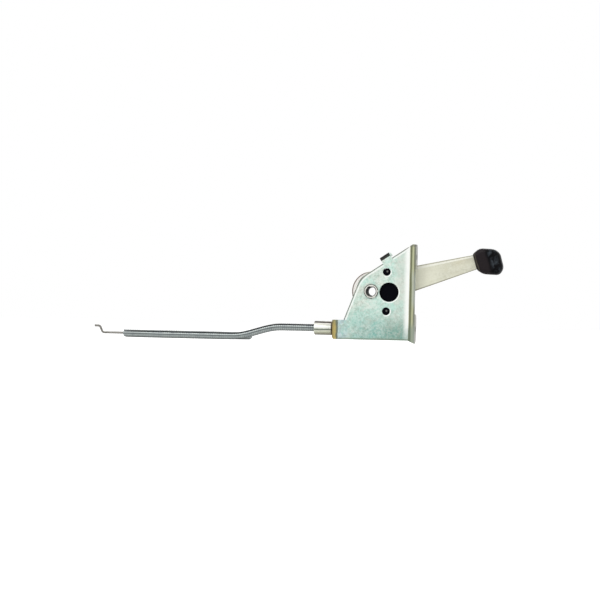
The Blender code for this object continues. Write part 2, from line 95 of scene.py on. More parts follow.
class Value:  # a shader socket that takes + - * / and powers
    def __init__(self, tree, socket=None):
        self.tree, self.socket = tree, socket

    def add(self, kind, settings=None, sockets=None, output=0):
        node = self.tree.nodes.new(kind)
        for key, value in (settings or {}).items():
            if key == "stops":
                self.fillRamp(node.color_ramp, value)
            else:
                setattr(node, key, value)
        for key, value in (sockets or {}).items():
            target = node.inputs[key]
            if isinstance(value, Value):
                self.tree.links.new(value.socket, target)
            else:
                target.default_value = value
        return Value(self.tree, node.outputs[output])

    def fillRamp(self, ramp, stops):
        while len(ramp.elements) < len(stops):
            ramp.elements.new(0.5)
        for element, (place, tone) in zip(ramp.elements, stops):
            element.position = place
            element.color = (*tone, 1) if len(tone) == 3 else tone

    def math(self, operation, *values):
        return self.add("ShaderNodeMath", {"operation": operation}, dict(enumerate(values)))

    def __add__(self, other):
        return self.math("ADD", self, other)

    def __sub__(self, other):
        return self.math("SUBTRACT", self, other)

    def __mul__(self, other):
        return self.math("MULTIPLY", self, other)

    def __truediv__(self, other):
        return self.math("DIVIDE", self, other)

    def __pow__(self, other):
        return self.math("POWER", self, other)

    def __rsub__(self, other):
        return self.math("SUBTRACT", other, self)

    def __rtruediv__(self, other):
        return self.math("DIVIDE", other, self)

    __radd__ = __add__
    __rmul__ = __mul__

    def between(self, low, high):  # 0 below low, 1 above high, smooth between
        ends = {"Value": self, "From Min": low, "From Max": high}
        return self.add("ShaderNodeMapRange", {"interpolation_type": "SMOOTHSTEP"}, ends)

    def bandAt(self, middle, halfWidth):  # 1 at the middle, 0 past the half width
        off = self.math("ABSOLUTE", self - middle)
        return 1 - off.between(halfWidth * 0.3, halfWidth)

    def mixed(self, first, second):  # this value blends one colour into another
        blend = {"data_type": "RGBA"}
        return self.add("ShaderNodeMix", blend, {0: self, 6: first, 7: second}, 2)

    def noise(self, scale, detail=3, roughness=0.55, distortion=0.0, space=None):
        ends = {"Scale": scale, "Detail": detail, "Roughness": roughness, "Distortion": distortion}
        if space is not None:
            ends["Vector"] = space
        return self.add("ShaderNodeTexNoise", None, ends)

    def stretched(self, scale):
        ends = {"Vector": self, "Scale": scale}
        return self.add("ShaderNodeMapping", None, ends)

    def apart(self):
        node = self.add("ShaderNodeSeparateXYZ", None, {0: self}).socket.node
        return [Value(self.tree, end) for end in node.outputs]

    def bumped(self, strength, distance):
        ends = {"Height": self, "Strength": strength, "Distance": distance}
        return self.add("ShaderNodeBump", None, ends)


def tone(red, green, blue):  # a colour as seen on screen, 0 to 255, made linear
    seen = np.array([red, green, blue]) / 255
    linear = np.where(seen <= 0.04045, seen / 12.92, ((seen + 0.055) / 1.055) ** 2.4)
    return (*linear.tolist(), 1)


def startMaterial(name, metallic, roughness):
    material = bpy.data.materials.new(name)
    material.use_nodes = True
    tree = material.node_tree
    shader = tree.nodes["Principled BSDF"]
    shader.inputs["Metallic"].default_value = metallic
    shader.inputs["Roughness"].default_value = roughness
    place = Value(tree).add("ShaderNodeTexCoord", output="Object")
    return material, shader, place


def connect(shader, **values):
    names = {
        "colour": "Base Color",
        "roughness": "Roughness",
        "normal": "Normal",
        "metallic": "Metallic",
    }
    for key, value in values.items():
        value.tree.links.new(value.socket, shader.inputs[names[key]])


zincPlate = {
    "pale": tone(210, 224, 212),
    "mint": tone(172, 218, 204),
    "teal": tone(88, 160, 150),
    "blue": tone(160, 184, 198),
    "beige": tone(198, 196, 184),
    "bright": tone(246, 248, 244),
    "dull": tone(150, 160, 146),
    "foot": tone(120, 132, 112),
    "lowDark": tone(80, 98, 78),
    "lowPale": tone(160, 170, 156),
    "steel": tone(184, 192, 186),
    "cut": tone(92, 84, 74),
    "shade": tone(6, 5, 4),
    "grey": tone(206, 210, 200),
    "ear": tone(194, 194, 186),
    "earShade": tone(120, 120, 110),
    "earRim": tone(96, 94, 86),
    "shoulder": (-0.0077, 0.0417),
    "slopeFoot": (-0.0185, 0.0132),
    "slant": 34.0,  # degrees, of the edge that carries the stop tab
    "stopTab": (0.0185, 0.0257),  # its ends along that edge from the shoulder
    "tabEase": 0.0003,
    "holes": [(0.0122, 0.0327, 0.0066), (0.0104, 0.0465, 0.0027), (0.0104, 0.0197, 0.0027)],
    "tabShade": 0.0018,  # how far out from that edge the tab turns dark
    "tabFront": (0.0012, 0.0026),  # depth between which its dark face ends
    "top": 0.0656,
    "cableTabTop": (0.0128, 0.0136),  # height where the slope takes over
    "flatEnd": (0.0245, 0.0256),  # where the flat plate turns into the right bend
    "cutDepth": (0.0007, 0.00085),  # depth from the sheet's middle where its cut side starts
    "leftEdge": -0.0268,
    "leftWidth": 0.005,
    "leftEnd": (-0.0226, -0.0217),
    "rightEdge": 0.0255,
    "rightWidth": 0.0038,
    "rightStart": (0.0256, 0.0261),
    "flangeDepth": (0.0036, 0.0046),  # where the bend has become the flange
    "earFace": (0.029, 0.0294),
    "earLit": (0.0084, 0.0042),  # middle and half width of the light along the ears
    "earRimDepth": (0.0118, 0.0126),
    # painted reflections round the right bend: a white highlight, olive painted shade, then straw
    # bands and a grey edge
    "rightBend": [
        (0.06, tone(250, 250, 238)),
        (0.16, tone(206, 206, 184)),
        (0.26, tone(112, 115, 90)),
        (0.46, tone(108, 113, 86)),
        (0.58, tone(150, 154, 122)),
        (0.74, tone(200, 203, 166)),
        (0.85, tone(178, 180, 144)),
        (0.96, tone(128, 132, 116)),
    ],
    # painted reflection and painted shade across the left bend over the plating's gold: dark, gold,
    # dark, then pale
    "leftBend": [
        (0.0, tone(112, 96, 58)),
        (0.2, tone(176, 158, 98)),
        (0.5, tone(186, 170, 108)),
        (0.7, tone(112, 116, 96)),
        (0.85, tone(104, 112, 104)),
        (1.0, tone(206, 216, 212)),
    ],
}


def shadePlateEdges(s, x, y, z, colour):
    # painted shade in a dull line and a painted highlight in a bright one inside the sloping edges,
    # painted shade over the stop tab's bend, and a painted highlight in a crescent by each hole
    slant = math.radians(s["slant"])
    c, sn = math.cos(slant), math.sin(slant)
    shoulderX, shoulderZ = s["shoulder"]
    outward = (z - shoulderZ) * c - (x - shoulderX) * sn
    along = (x - shoulderX) * c + (z - shoulderZ) * sn
    run, rise = shoulderX - s["slopeFoot"][0], shoulderZ - s["slopeFoot"][1]
    size = math.hypot(run, rise)
    inFromSlope = (x - shoulderX) * (rise / size) - (z - shoulderZ) * (run / size)
    depth = x.math("SMOOTH_MIN", inFromSlope, 0 - outward, 0.005)
    tabStart, tabEnd = s["stopTab"]
    onTab = along.between(tabStart - s["tabEase"], tabStart)
    onTab = onTab * (1 - along.between(tabEnd, tabEnd + s["tabEase"]))
    edge = (1 - onTab) * z.between(*s["cableTabTop"]) * (1 - x.between(*s["flatEnd"]))
    # painted highlight: a bright line just inside the sloping edges
    colour = (depth.bandAt(0.0013, 0.0007) * edge * 0.8).mixed(colour, s["bright"])
    # painted shade: a dull line along the sloping edges
    colour = ((1 - depth.between(0.00045, 0.0008)) * edge * 0.75).mixed(colour, s["cut"])
    # painted shade: the stop tab's bend turns almost black where it stands out from the edge
    proud = outward.between(s["tabShade"], s["tabShade"] + s["tabEase"])
    front = 1 - y.between(*s["tabFront"])
    colour = (proud * front * 0.97).mixed(colour, s["shade"])
    for holeX, holeZ, radius in s["holes"]:
        right, above = x - holeX, z - holeZ
        gap = (right * right + above * above) ** 0.5 - radius
        # painted highlight: a bright crescent on the lower right of each hole's rim
        crescent = gap.bandAt(0.00045, 0.0005) * (right - above).between(0, radius)
        colour = (crescent * 0.95).mixed(colour, s["bright"])
    return colour


def shadeRightBend(s, x, y, z, streaks, colour):
    # painted reflections and painted shade round the bend in white, olive and straw lines, grey half
    # way up, darker towards the bottom and painted shade along the top; a pale ear with a painted
    # highlight down its middle and a dull rim of painted shade
    across = (x - s["rightEdge"] + (streaks - 0.5) * 0.0009) / s["rightWidth"]
    bend = x.add("ShaderNodeValToRGB", {"stops": s["rightBend"]}, {"Fac": across})
    lowTone = across.between(0.1, 0.95).mixed(s["lowDark"], s["lowPale"])
    bend = ((1 - z.between(0.006, 0.014)) * 0.85).mixed(bend, lowTone)
    steel = z.between(0.02, 0.028) * (1 - z.between(0.042, 0.05)) * across.between(0.5, 0.7)
    bend = (steel * (streaks.between(0.4, 0.6) * 0.3 + 0.5)).mixed(bend, s["steel"])
    face = y.between(*s["flangeDepth"])
    bend = face.mixed(bend, s["dull"])
    # painted highlight down the middle of each ear, painted shade at its root and rim
    earTone = y.bandAt(*s["earLit"]).mixed(s["earShade"], s["ear"])
    earTone = y.between(*s["earRimDepth"]).mixed(earTone, s["earRim"])
    bend = (face * x.between(*s["earFace"])).mixed(bend, earTone)
    # painted shade along the top of the flange
    cap = z.between(s["top"] - 0.0022, s["top"] - 0.0012)
    bend = (cap * 0.6).mixed(bend, s["earShade"])
    return x.between(*s["rightStart"]).mixed(colour, bend)


def makeZincPlate(s):
    # pale plating, teal in clouds low on the plate, a painted highlight strip before the right bend,
    # and round the bends the plating's rainbow colours mixed with painted reflections and painted
    # shade
    material, shader, place = startMaterial("zincPlate", 0.45, 0.4)
    shader.inputs["Specular IOR Level"].default_value = 0.2
    x, y, z = place.apart()
    cloud = place.noise(70, 4, 0.62, 0.5, place).between(0.34, 0.66)
    speckle = place.noise(700, 4, 0.75, 0, place).between(0.34, 0.66)
    mint = place.noise(95, 4, 0.6, 0.6, place.stretched((1, 1, 1.2))).between(0.38, 0.6)
    colour = (mint * 0.8).mixed(s["pale"], s["mint"])
    low = (1 - z.between(0.0, 0.028)) * (x.between(-0.015, -0.007) * 0.45 + 0.55)
    patch = low * (cloud * 0.25 + 0.66)
    colour = patch.mixed(colour, s["teal"])
    beige = place.noise(75, 3, 0.6, 0.3, place).between(0.5, 0.68) * z.between(0.014, 0.034) * 0.6
    colour = beige.mixed(colour, s["beige"])
    blue = (1 - x.between(-0.0205, -0.013)) * 0.75
    blue = blue * place.noise(170, 3, 0.6, 0.4, place).between(0.35, 0.6)
    colour = blue.mixed(colour, s["blue"])
    fleck = place.noise(420, 4, 0.8, 0.4, place)
    colour = (speckle * 0.4).mixed(colour, s["bright"])
    colour = (fleck.between(0.46, 0.68) * 0.5).mixed(colour, s["dull"])
    corner = x.between(0.003, 0.014) * (1 - z.between(0.006, 0.02))
    colour = (corner * 0.3).mixed(colour, s["foot"])
    greyed = x.between(0.0155, 0.0185) * z.between(0.012, 0.034) * 0.5
    colour = greyed.mixed(colour, s["grey"])
    # painted highlight: a bright strip on the flat plate just before the right bend
    bendHighlight = x.between(0.0214, 0.0248) * (z.between(-0.003, 0.013) * 0.8 + 0.15)
    colour = bendHighlight.mixed(colour, s["bright"])
    foot = 1 - z.between(0.0003, 0.0017)
    colour = (foot * 0.75).mixed(colour, s["foot"])
    streaks = place.noise(150, 3, 0.6, 0, place.stretched((3, 3, 0.25)))
    colour = shadeRightBend(s, x, y, z, streaks, colour)
    rainbow = place.noise(330, 3, 0.6, 0.3, place)
    # painted reflection and painted shade across the left bend, waved by noise, over the plating's
    # colours
    leftRamp = (x - s["leftEdge"]) / s["leftWidth"] + (rainbow - 0.5) * 0.3
    tabTone = place.add("ShaderNodeValToRGB", {"stops": s["leftBend"]}, {"Fac": leftRamp})
    olive = z.between(0.009, 0.0135) * 0.5
    tabTone = olive.mixed(tabTone, s["foot"])
    colour = (1 - x.between(*s["leftEnd"])).mixed(colour, tabTone)
    inside = (1 - x.between(*s["flatEnd"])) * x.between(*s["leftEnd"])
    near, far = s["cutDepth"]
    cut = y.between(-far, -near) * (1 - y.between(near, far)) * inside
    colour = (cut * 0.85).mixed(colour, s["cut"])
    colour = shadePlateEdges(s, x, y, z, colour)
    rough = cloud * 0.12 + speckle * 0.12 + 0.28
    height = speckle + place.noise(160, 2, 0.5, 0, place) * 1.5
    connect(shader, colour=colour, roughness=rough, normal=height.bumped(0.14, 0.0003))
    return material


zincLever = {
    "cream": tone(210, 210, 190),
    "grey": tone(186, 184, 164),
    "warm": tone(198, 190, 160),
    "pale": tone(244, 244, 234),
    "edge": tone(112, 110, 82),
    "rim": tone(122, 108, 98),
    "white": tone(252, 250, 246),
    "lit": tone(252, 252, 232),
    "disc": 0.0137,
    "discBack": 0.0061,
    "washerEdge": (0.0085, 0.0095),
    "discSide": (-0.004, 0.004),  # along the arm, past which its shading takes over
    "halfRoot": 0.0105,
    "taper": 0.0764,
    "armStart": (0.016, 0.026),
    "armFlat": (0.0243, 0.0247),  # past the joggle
    "armFace": (0.0148, 0.0154),
    "litEnd": (0.03, 0.052),
}


def makeZincLever(s):
    # cream plating, finely mottled: painted light on the arm's root, a painted highlight and painted
    # shade in lines along the arm's edges, and a painted highlight over the disc with a painted shade
    # outline at its rim
    material, shader, place = startMaterial("zincLever", 0.5, 0.42)
    x, y, z = place.apart()
    c, sn = math.cos(control["armAngle"]), math.sin(control["armAngle"])
    z = z - control["pivotHeight"]
    along = x * c + z * sn
    share = (z * c - x * sn - control["armRise"]) / (s["halfRoot"] - along * s["taper"])
    turned = place.add("ShaderNodeCombineXYZ", None, {0: along * 0.3, 1: y, 2: z * c - x * sn})
    cloud = place.noise(190, 4, 0.65, 0.3, turned).between(0.36, 0.68)
    speckle = place.noise(800, 4, 0.75, 0, place).between(0.34, 0.68)
    colour = (cloud * 0.6).mixed(s["cream"], s["grey"])
    warm = place.noise(60, 3, 0.5, 0, place).between(0.5, 0.75) * 0.5
    colour = warm.mixed(colour, s["warm"])
    colour = (speckle * 0.3).mixed(colour, s["pale"])
    # painted light lifting the front of the arm's root out of its shadow
    armFront = along.between(*s["armFlat"]) * (1 - y.between(*s["armFace"]))
    root = (1 - along.between(*s["litEnd"])) * armFront
    colour = (root * 0.65).mixed(colour, s["lit"])
    onArm = along.between(*s["armStart"])
    # painted highlight just inside the arm's upper edge, and painted shade along both edges
    colour = (share.bandAt(0.79, 0.14) * onArm * 0.7).mixed(colour, s["pale"])
    colour = (share.between(0.87, 0.95) * onArm * 0.55).mixed(colour, s["edge"])
    colour = ((1 - share.between(-0.98, -0.88)) * onArm * 0.85).mixed(colour, s["edge"])
    radius = (x * x + z * z) ** 0.5
    # painted highlight: the disc beside the plate turns white, with a painted shade outline at its
    # rim
    outer = (1 - along.between(*s["discSide"])) * radius.between(*s["washerEdge"])
    outer = outer * (1 - radius.between(s["disc"] + 0.0001, s["disc"] + 0.0003))
    outer = outer * (1 - y.between(s["discBack"] - 0.0006, s["discBack"] - 0.0003))
    colour = (outer * 0.92).mixed(colour, s["white"])
    colour = (outer * radius.between(s["disc"] - 0.001, s["disc"] - 0.0005)).mixed(colour, s["rim"])
    rough = cloud * 0.12 + speckle * 0.12 + 0.3
    height = speckle + cloud * 0.6
    connect(shader, colour=colour, roughness=rough, normal=height.bumped(0.14, 0.0003))
    return material


brightZinc = {
    "light": tone(234, 234, 226),
    "dark": tone(172, 172, 162),
    "grimeAndShade": tone(28, 26, 24),
    "bore": (0.00325, 0.00345),
    "rings": [(0.00345, 0.0005), (0.00485, 0.0007)],  # radius and half width of the grime and painted shade
}


def brightPlating(place, s):
    # a light grey in clouds, and a fine grain for the bumps and the gloss
    cloud = place.noise(260, 4, 0.6, 0.2, place).between(0.35, 0.7)
    return (cloud * 0.55).mixed(s["light"], s["dark"]), place.noise(1500, 3, 0.7, 0, place)


def makeRivetZinc(s):
    # bright steel with painted shade down the bore, and grime with painted shade in rings round the
    # head
    material, shader, place = startMaterial("rivetZinc", 0.8, 0.28)
    x, y, z = place.apart()
    z = z - control["pivotHeight"]
    radius = (x * x + z * z) ** 0.5
    colour, fine = brightPlating(place, s)
    bore = 1 - radius.between(*s["bore"])
    innerRing, outerRing = (radius.bandAt(*ring) for ring in s["rings"])
    broken = place.noise(360, 2, 0.5, 0, place).between(0.3, 0.46)
    # grime and painted shade in broken rings at the bore's edge and the head's edge
    colour = ((innerRing + outerRing) * broken * 0.95).mixed(colour, s["grimeAndShade"])
    # painted shade down the bore
    colour = (bore * 0.95).mixed(colour, s["grimeAndShade"])
    clean = 1 - bore
    connect(shader, colour=colour, metallic=clean * 0.7, normal=fine.bumped(0.1, 0.0002))
    connect(shader, roughness=fine * 0.2 + 0.2 + bore * 0.45)
    return material


def makeWasherZinc(s):
    # the same bright steel, clean all over
    material, shader, place = startMaterial("washerZinc", 0.8, 0.3)
    colour, fine = brightPlating(place, s)
    connect(shader, colour=colour, roughness=fine * 0.2 + 0.22, normal=fine.bumped(0.1, 0.0002))
    return material


ferruleZinc = {
    # painted highlights and painted shade in bands, by share of the height
    "bands": [
        (0.02, tone(128, 122, 112)),
        (0.07, tone(150, 148, 132)),
        (0.16, tone(186, 186, 166)),
        (0.24, tone(222, 226, 204)),
        (0.32, tone(214, 214, 200)),
        (0.37, tone(112, 120, 104)),
        (0.42, tone(104, 112, 96)),
        (0.47, tone(232, 234, 224)),
        (0.62, tone(250, 252, 246)),
        (0.69, tone(196, 198, 184)),
        (0.745, tone(160, 160, 150)),
        (0.785, tone(236, 236, 228)),
        (0.835, tone(226, 222, 212)),
        (0.87, tone(62, 54, 44)),
        (0.95, tone(48, 42, 34)),
        (0.98, tone(190, 188, 178)),
    ],
    "radius": 0.0048,
    "chamfer": tone(112, 92, 66),
    "chamferStart": (-0.0281, -0.0275),
}


def makeFerruleZinc(s):
    # drawn bright steel, with painted highlights and painted shade in lengthwise bands by height that
    # waver a little
    material, shader, place = startMaterial("ferruleZinc", 0.4, 0.36)
    x, y, z = place.apart()
    waver = place.noise(260, 2, 0.5, 0, place.stretched((0.5, 1, 1))) - 0.5
    height = (z - control["cableHeight"]) / (2 * s["radius"]) + 0.5 + waver * 0.09
    colour = place.add("ShaderNodeValToRGB", {"stops": s["bands"]}, {"Fac": height})
    chamfer = x.between(*s["chamferStart"]) * 0.7
    colour = chamfer.mixed(colour, s["chamfer"])
    fine = place.noise(900, 3, 0.7, 0, place.stretched((0.15, 1, 1)))
    connect(shader, colour=colour, roughness=fine * 0.2 + 0.2, normal=fine.bumped(0.12, 0.0002))
    return material


conduitSteel = {
    # painted highlights and painted shade in lengthwise bands, by share of the height
    "bands": [
        (0.03, tone(140, 144, 142)),
        (0.13, tone(160, 166, 164)),
        (0.25, tone(170, 178, 176)),
        (0.37, tone(176, 184, 182)),
        (0.45, tone(112, 118, 118)),
        (0.52, tone(96, 102, 102)),
        (0.6, tone(166, 174, 172)),
        (0.68, tone(204, 212, 210)),
        (0.78, tone(190, 198, 196)),
        (0.86, tone(136, 142, 140)),
        (1.0, tone(146, 152, 150)),
    ],
    "dark": tone(14, 17, 16),
    "groove": tone(48, 50, 52),
    "stain": tone(118, 124, 134),
    "darkStart": (0.71, 0.775),  # share of the height where the painted dark line begins
    "grooveShadeFrom": (-0.1, -0.07),
}


def makeConduitSteel(s):
    # painted highlights and painted shade in lengthwise bands by height, a painted dark line along
    # the top of the side that faces the front, and painted shade in the grooves, stronger near the
    # ferrule; attributes keep crest height and which side is up or front
    material, shader, place = startMaterial("conduitSteel", 0.25, 0.42)
    shader.inputs["Specular IOR Level"].default_value = 0.05
    crest, upward, front = (
        place.add("ShaderNodeAttribute", {"attribute_name": name}, output="Fac")
        for name in ("crest", "upward", "front")
    )
    stain = place.noise(220, 4, 0.6, 0.3, place).between(0.4, 0.75)
    height = upward + (stain - 0.5) * 0.03
    colour = place.add("ShaderNodeValToRGB", {"stops": s["bands"]}, {"Fac": height})
    shaded = height.between(*s["darkStart"]) * front
    colour = (shaded * 0.97).mixed(colour, s["dark"])
    colour = (stain * 0.3).mixed(colour, s["stain"])
    x = place.apart()[0]
    # painted shade in the grooves, stronger near the ferrule, mottled by the stains
    grooveShade = x.between(*s["grooveShadeFrom"]) * 0.45 + stain * 0.2 + 0.22
    colour = ((1 - crest.between(0.15, 0.85)) * grooveShade).mixed(colour, s["groove"])
    fine = place.noise(1600, 2, 0.6, 0, place)
    rough = stain * 0.14 + fine * 0.12 + 0.3
    connect(shader, colour=colour, roughness=rough, normal=fine.bumped(0.06, 0.0001))
    connect(shader, metallic=(1 - shaded) * 0.25)
    return material


wireSteel = {"light": tone(150, 148, 142), "dark": tone(92, 88, 84)}


def makeWireSteel(s):
    # drawn wire, streaked along its length
    material, shader, place = startMaterial("wireSteel", 0.5, 0.42)
    streak = place.noise(90, 4, 0.6, 0, place.stretched((1, 12, 12)))
    colour = streak.between(0.3, 0.7).mixed(s["light"], s["dark"])
    connect(shader, colour=colour, roughness=streak * 0.25 + 0.22, normal=streak.bumped(0.1, 0.0002))
    return material


knobPlastic = {
    "black": tone(2, 2, 4),
    "brown": tone(36, 31, 33),
    "rim": tone(74, 70, 62),
    "paintedGlint": tone(62, 68, 74),
    "ridge": 0.0812,  # along the arm, where the dull facet, lightened by painted light, meets the dark one
    "lip": 0.0739,  # and where a paler line follows the end by the arm
    "face": (0.0095, 0.0115),  # depth between which the front's marks end
}


def makeKnobPlastic(s):
    # moulded black plastic: painted light turns the facet by the arm a dull brown, the darker
    # leathery one beyond carries painted glints, and a paler line runs along the end by the arm
    material, shader, place = startMaterial("knobPlastic", 0.0, 0.45)
    shader.inputs["Specular IOR Level"].default_value = 0.08
    x, y, z = place.apart()
    c, sn = math.cos(control["armAngle"]), math.sin(control["armAngle"])
    along = x * c + (z - control["pivotHeight"]) * sn
    patch = place.noise(230, 4, 0.65, 0.8, place).between(0.42, 0.62)
    waver = (place.noise(160, 2, 0.5, 0, place) - 0.5) * 0.004
    # painted light on the facet by the arm
    dull = 1 - (along + waver).between(s["ridge"] - 0.0012, s["ridge"] + 0.0016)
    front = 1 - y.between(*s["face"])
    colour = (dull * front * 0.9).mixed(s["black"], s["brown"])
    colour = ((along + waver * 0.3).bandAt(s["lip"], 0.0007) * front * 0.75).mixed(colour, s["rim"])
    # painted glints on the dark facet beyond the ridge
    paintedGlint = patch * (along + waver).bandAt(s["ridge"] + 0.0048, 0.0042) * front
    colour = (paintedGlint * 0.75).mixed(colour, s["paintedGlint"])
    grain = place.noise(1400, 3, 0.6, 0, place)
    height = grain * 0.6 + place.noise(320, 3, 0.6, 0.3, place)
    connect(shader, colour=colour, roughness=patch * 0.15 + 0.36, normal=height.bumped(0.4, 0.0005))
    return material


padPlastic = {
    "black": tone(2, 2, 8),
    "dust": tone(26, 26, 34),
    "paintedGlint": tone(120, 118, 116),
    "pegs": [(0.0108, 0.0468), (0.0107, 0.02)],
    "pegGlint": (0.0003, 0.0009),  # from a peg's middle
    "pegFront": (0.0005, 0.0008),
}


def makePadPlastic(s):
    # dark moulded plastic with a trace of dust, and a painted glint on each peg's tip
    material, shader, place = startMaterial("padPlastic", 0.0, 0.5)
    shader.inputs["Specular IOR Level"].default_value = 0.04
    dust = place.noise(500, 4, 0.7, 0, place).between(0.55, 0.85) * 0.4
    grain = place.noise(1800, 2, 0.5, 0, place)
    colour = dust.mixed(s["black"], s["dust"])
    x, y, z = place.apart()
    # painted glint on each peg's tip
    for pegX, pegZ in s["pegs"]:
        off = ((x - pegX) * (x - pegX) + (z - pegZ) * (z - pegZ)) ** 0.5
        tip = (1 - off.between(*s["pegGlint"])) * (1 - y.between(*s["pegFront"]))
        colour = (tip * 0.8).mixed(colour, s["paintedGlint"])
    connect(shader, colour=colour, normal=grain.bumped(0.2, 0.0002))
    return material


zincPlateFinish = makeZincPlate(zincPlate)
zincLeverFinish = makeZincLever(zincLever)
rivetFinish = makeRivetZinc(brightZinc)
washerFinish = makeWasherZinc(brightZinc)
ferruleFinish = makeFerruleZinc(ferruleZinc)
conduitFinish = makeConduitSteel(conduitSteel)
wireFinish = makeWireSteel(wireSteel)
knobFinish = makeKnobPlastic(knobPlastic)
padFinish = makePadPlastic(padPlastic)
print("finishes made")


def addPiece(name, points, faces, finish, body, smoothAngle=50, marks=None):
    # doubles merge, faces turn outwards, the shading is smooth up to the angle in degrees, and
    # marks are values kept at the points for a finish to read
    mesh = bpy.data.meshes.new(name)
    mesh.from_pydata(points.tolist(), [], faces)
    for key, values in (marks or {}).items():
        mark = mesh.attributes.new(key, "FLOAT", "POINT")
        mark.data.foreach_set("value", values.astype(np.float32))
    shape = bmesh.new()
    shape.from_mesh(mesh)
    bmesh.ops.remove_doubles(shape, verts=shape.verts, dist=1e-7)
    bmesh.ops.dissolve_degenerate(shape, edges=shape.edges, dist=1e-8)
    bmesh.ops.recalc_face_normals(shape, faces=shape.faces)
    shape.to_mesh(mesh)
    shape.free()
    mesh.shade_smooth()
    if smoothAngle:
        mesh.set_sharp_from_angle(angle=math.radians(smoothAngle))
    piece = bpy.data.objects.new(name, mesh)
    bpy.context.scene.collection.objects.link(piece)
    mesh.materials.append(finish)
    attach(piece, body)
    return piece


def gridFaces(rows, columns, closedRows=False):
    # quads between neighbours of a grid whose columns run round
    i = np.arange(rows if closedRows else rows - 1)[:, None]
    j = np.arange(columns)[None, :]
    below, beside = (i + 1) % rows, (j + 1) % columns
    corners = (i * columns + j, i * columns + beside, below * columns + beside, below * columns + j)
    return np.stack(np.broadcast_arrays(*corners), -1).reshape(-1, 4).tolist()


def turnProfile(profile, centre, axis, steps=96):
    # a closed section (radius, height) carried round a level axis through the centre
    profile = np.array(profile, float)
    angle = np.linspace(0, 2 * np.pi, steps, endpoint=False)
    along = np.array(axis, float)
    side = np.cross(along, (0, 0, 1))
    other = np.cross(along, side)
    ring = np.cos(angle)[:, None] * side + np.sin(angle)[:, None] * other
    points = profile[:, None, 0, None] * ring + profile[:, None, 1, None] * along
    return (points + np.array(centre)).reshape(-1, 3), gridFaces(len(profile), steps, True)


def roundCorners(corners, steps=5):
    # a closed section whose corners (radius, height, rounding) become small arcs
    outline = []
    spots = [np.array(c[:2], float) for c in corners]
    for k, (corner, (_, _, size)) in enumerate(zip(spots, corners)):
        before, after = spots[k - 1], spots[(k + 1) % len(spots)]
        into, out = corner - before, after - corner
        size = min(size, 0.45 * np.linalg.norm(into), 0.45 * np.linalg.norm(out))
        into, out = into / np.linalg.norm(into), out / np.linalg.norm(out)
        if size <= 0:
            outline.append(corner)
            continue
        t = np.linspace(0, 1, steps + 1)[:, None]
        start, end = corner - into * size, corner + out * size
        curve = start * (1 - t) ** 2 + corner * 2 * t * (1 - t) + end * t**2
        outline.extend(curve)
    return np.array(outline)


conduit = {
    "diameter": 0.005,
    "bore": 0.0024,
    "startX": -0.030175,
    "exitX": -0.0394,  # where it leaves the ferrule
    "straightEnd": -0.062475,
    "droopEnd": -0.096,
    "coilX": -0.135,
    "coilRadius": 0.043,
    "spacing": 0.00515,  # strand to strand in the flat coil
    "turns": 0.65,  # round and in, and as much out again
    "drawIn": (0.36, 0.5),  # turns between which the strand moves in beside the outer one
    "endX": -0.189,
    "pitch": 0.0013,  # one winding
    "perWinding": 5,
    "sides": 18,
    "depth": 0.00032,  # groove below the crests
    "roundness": 0.6,  # below 1 for wide crests and narrow grooves
    "boreRings": 260,
    "step": 0.0005,  # between points of the line
    "blur": 7,  # points to each side that are averaged
    "facing": (-5.5, -0.8),  # slope and start of the painted dark line's mark for the side that faces the front
}


def conduitRoute(c):
    # straight out of the ferrule, down to the floor, round and in, an S and out again
    depth, height = control["cableDepth"], control["cableHeight"]
    rest = control["floor"] + c["diameter"] / 2
    out = c["coilRadius"]
    x = np.linspace(c["startX"], c["coilX"], 60)[:-1]
    t = np.clip((c["straightEnd"] - x) / (c["straightEnd"] - c["droopEnd"]), 0, 1)
    first = np.stack([x, np.full_like(x, depth), height + (rest - height) * t * t * (3 - 2 * t)], 1)
    turn = np.linspace(0, c["turns"], 150)
    share = np.clip((turn - c["drawIn"][0]) / (c["drawIn"][1] - c["drawIn"][0]), 0, 1)
    radius = out - c["spacing"] * share * share * (3 - 2 * share)
    angle = -np.pi / 2 - 2 * np.pi * turn
    inner, last = radius[-1], angle[-1]
    spiral = np.stack([radius * np.cos(angle), radius * np.sin(angle)], 1)
    half = last - np.linspace(0, np.pi, 40)[1:]
    bow = np.stack([np.cos(last) + np.cos(half), np.sin(last) + np.sin(half)], 1) * inner / 2
    flat = np.concatenate([spiral, bow])
    back = -flat[::-1]
    flat = np.concatenate([flat, back[1:]])
    coil = np.stack([flat[:, 0] + c["coilX"], flat[:, 1] + depth + out, np.full(len(flat), rest)], 1)
    x = np.linspace(c["coilX"], c["endX"], 24)[1:]
    last = np.stack([x, np.full_like(x, depth + 2 * out), np.full_like(x, rest)], 1)
    return np.concatenate([first, coil, last])


def reachAlong(line):
    # the length of a line from its start to each of its points
    return np.concatenate([[0], np.cumsum(np.linalg.norm(np.diff(line, axis=0), axis=1))])


def spacedRoute(route, step):
    # the same line with its points a fixed step apart
    reach = reachAlong(route)
    marks = np.linspace(0, reach[-1], int(round(reach[-1] / step)) + 1)
    return np.stack([np.interp(marks, reach, route[:, k]) for k in range(3)], 1)


def evenRoute(route, step, blur=0):
    # spaced evenly, its corners eased by a weighted average, and spaced evenly again
    route = spacedRoute(route, step)
    if blur:
        kernel = np.hanning(2 * blur + 3)[1:-1]
        kernel /= kernel.sum()
        lead = 2 * route[0] - route[1 : blur + 1][::-1]
        tail = 2 * route[-1] - route[-blur - 1 : -1][::-1]
        padded = np.concatenate([lead, route, tail])
        route = np.stack([np.convolve(padded[:, k], kernel, "valid") for k in range(3)], 1)
    return spacedRoute(route, step)


def framesAlong(route):
    # the directions up and across at each point of a line that never stands upright
    tangent = np.gradient(route, axis=0)
    tangent /= np.linalg.norm(tangent, axis=1)[:, None]
    across = np.cross(tangent, (0, 0, 1))
    across /= np.linalg.norm(across, axis=1)[:, None]
    return np.cross(across, tangent), across


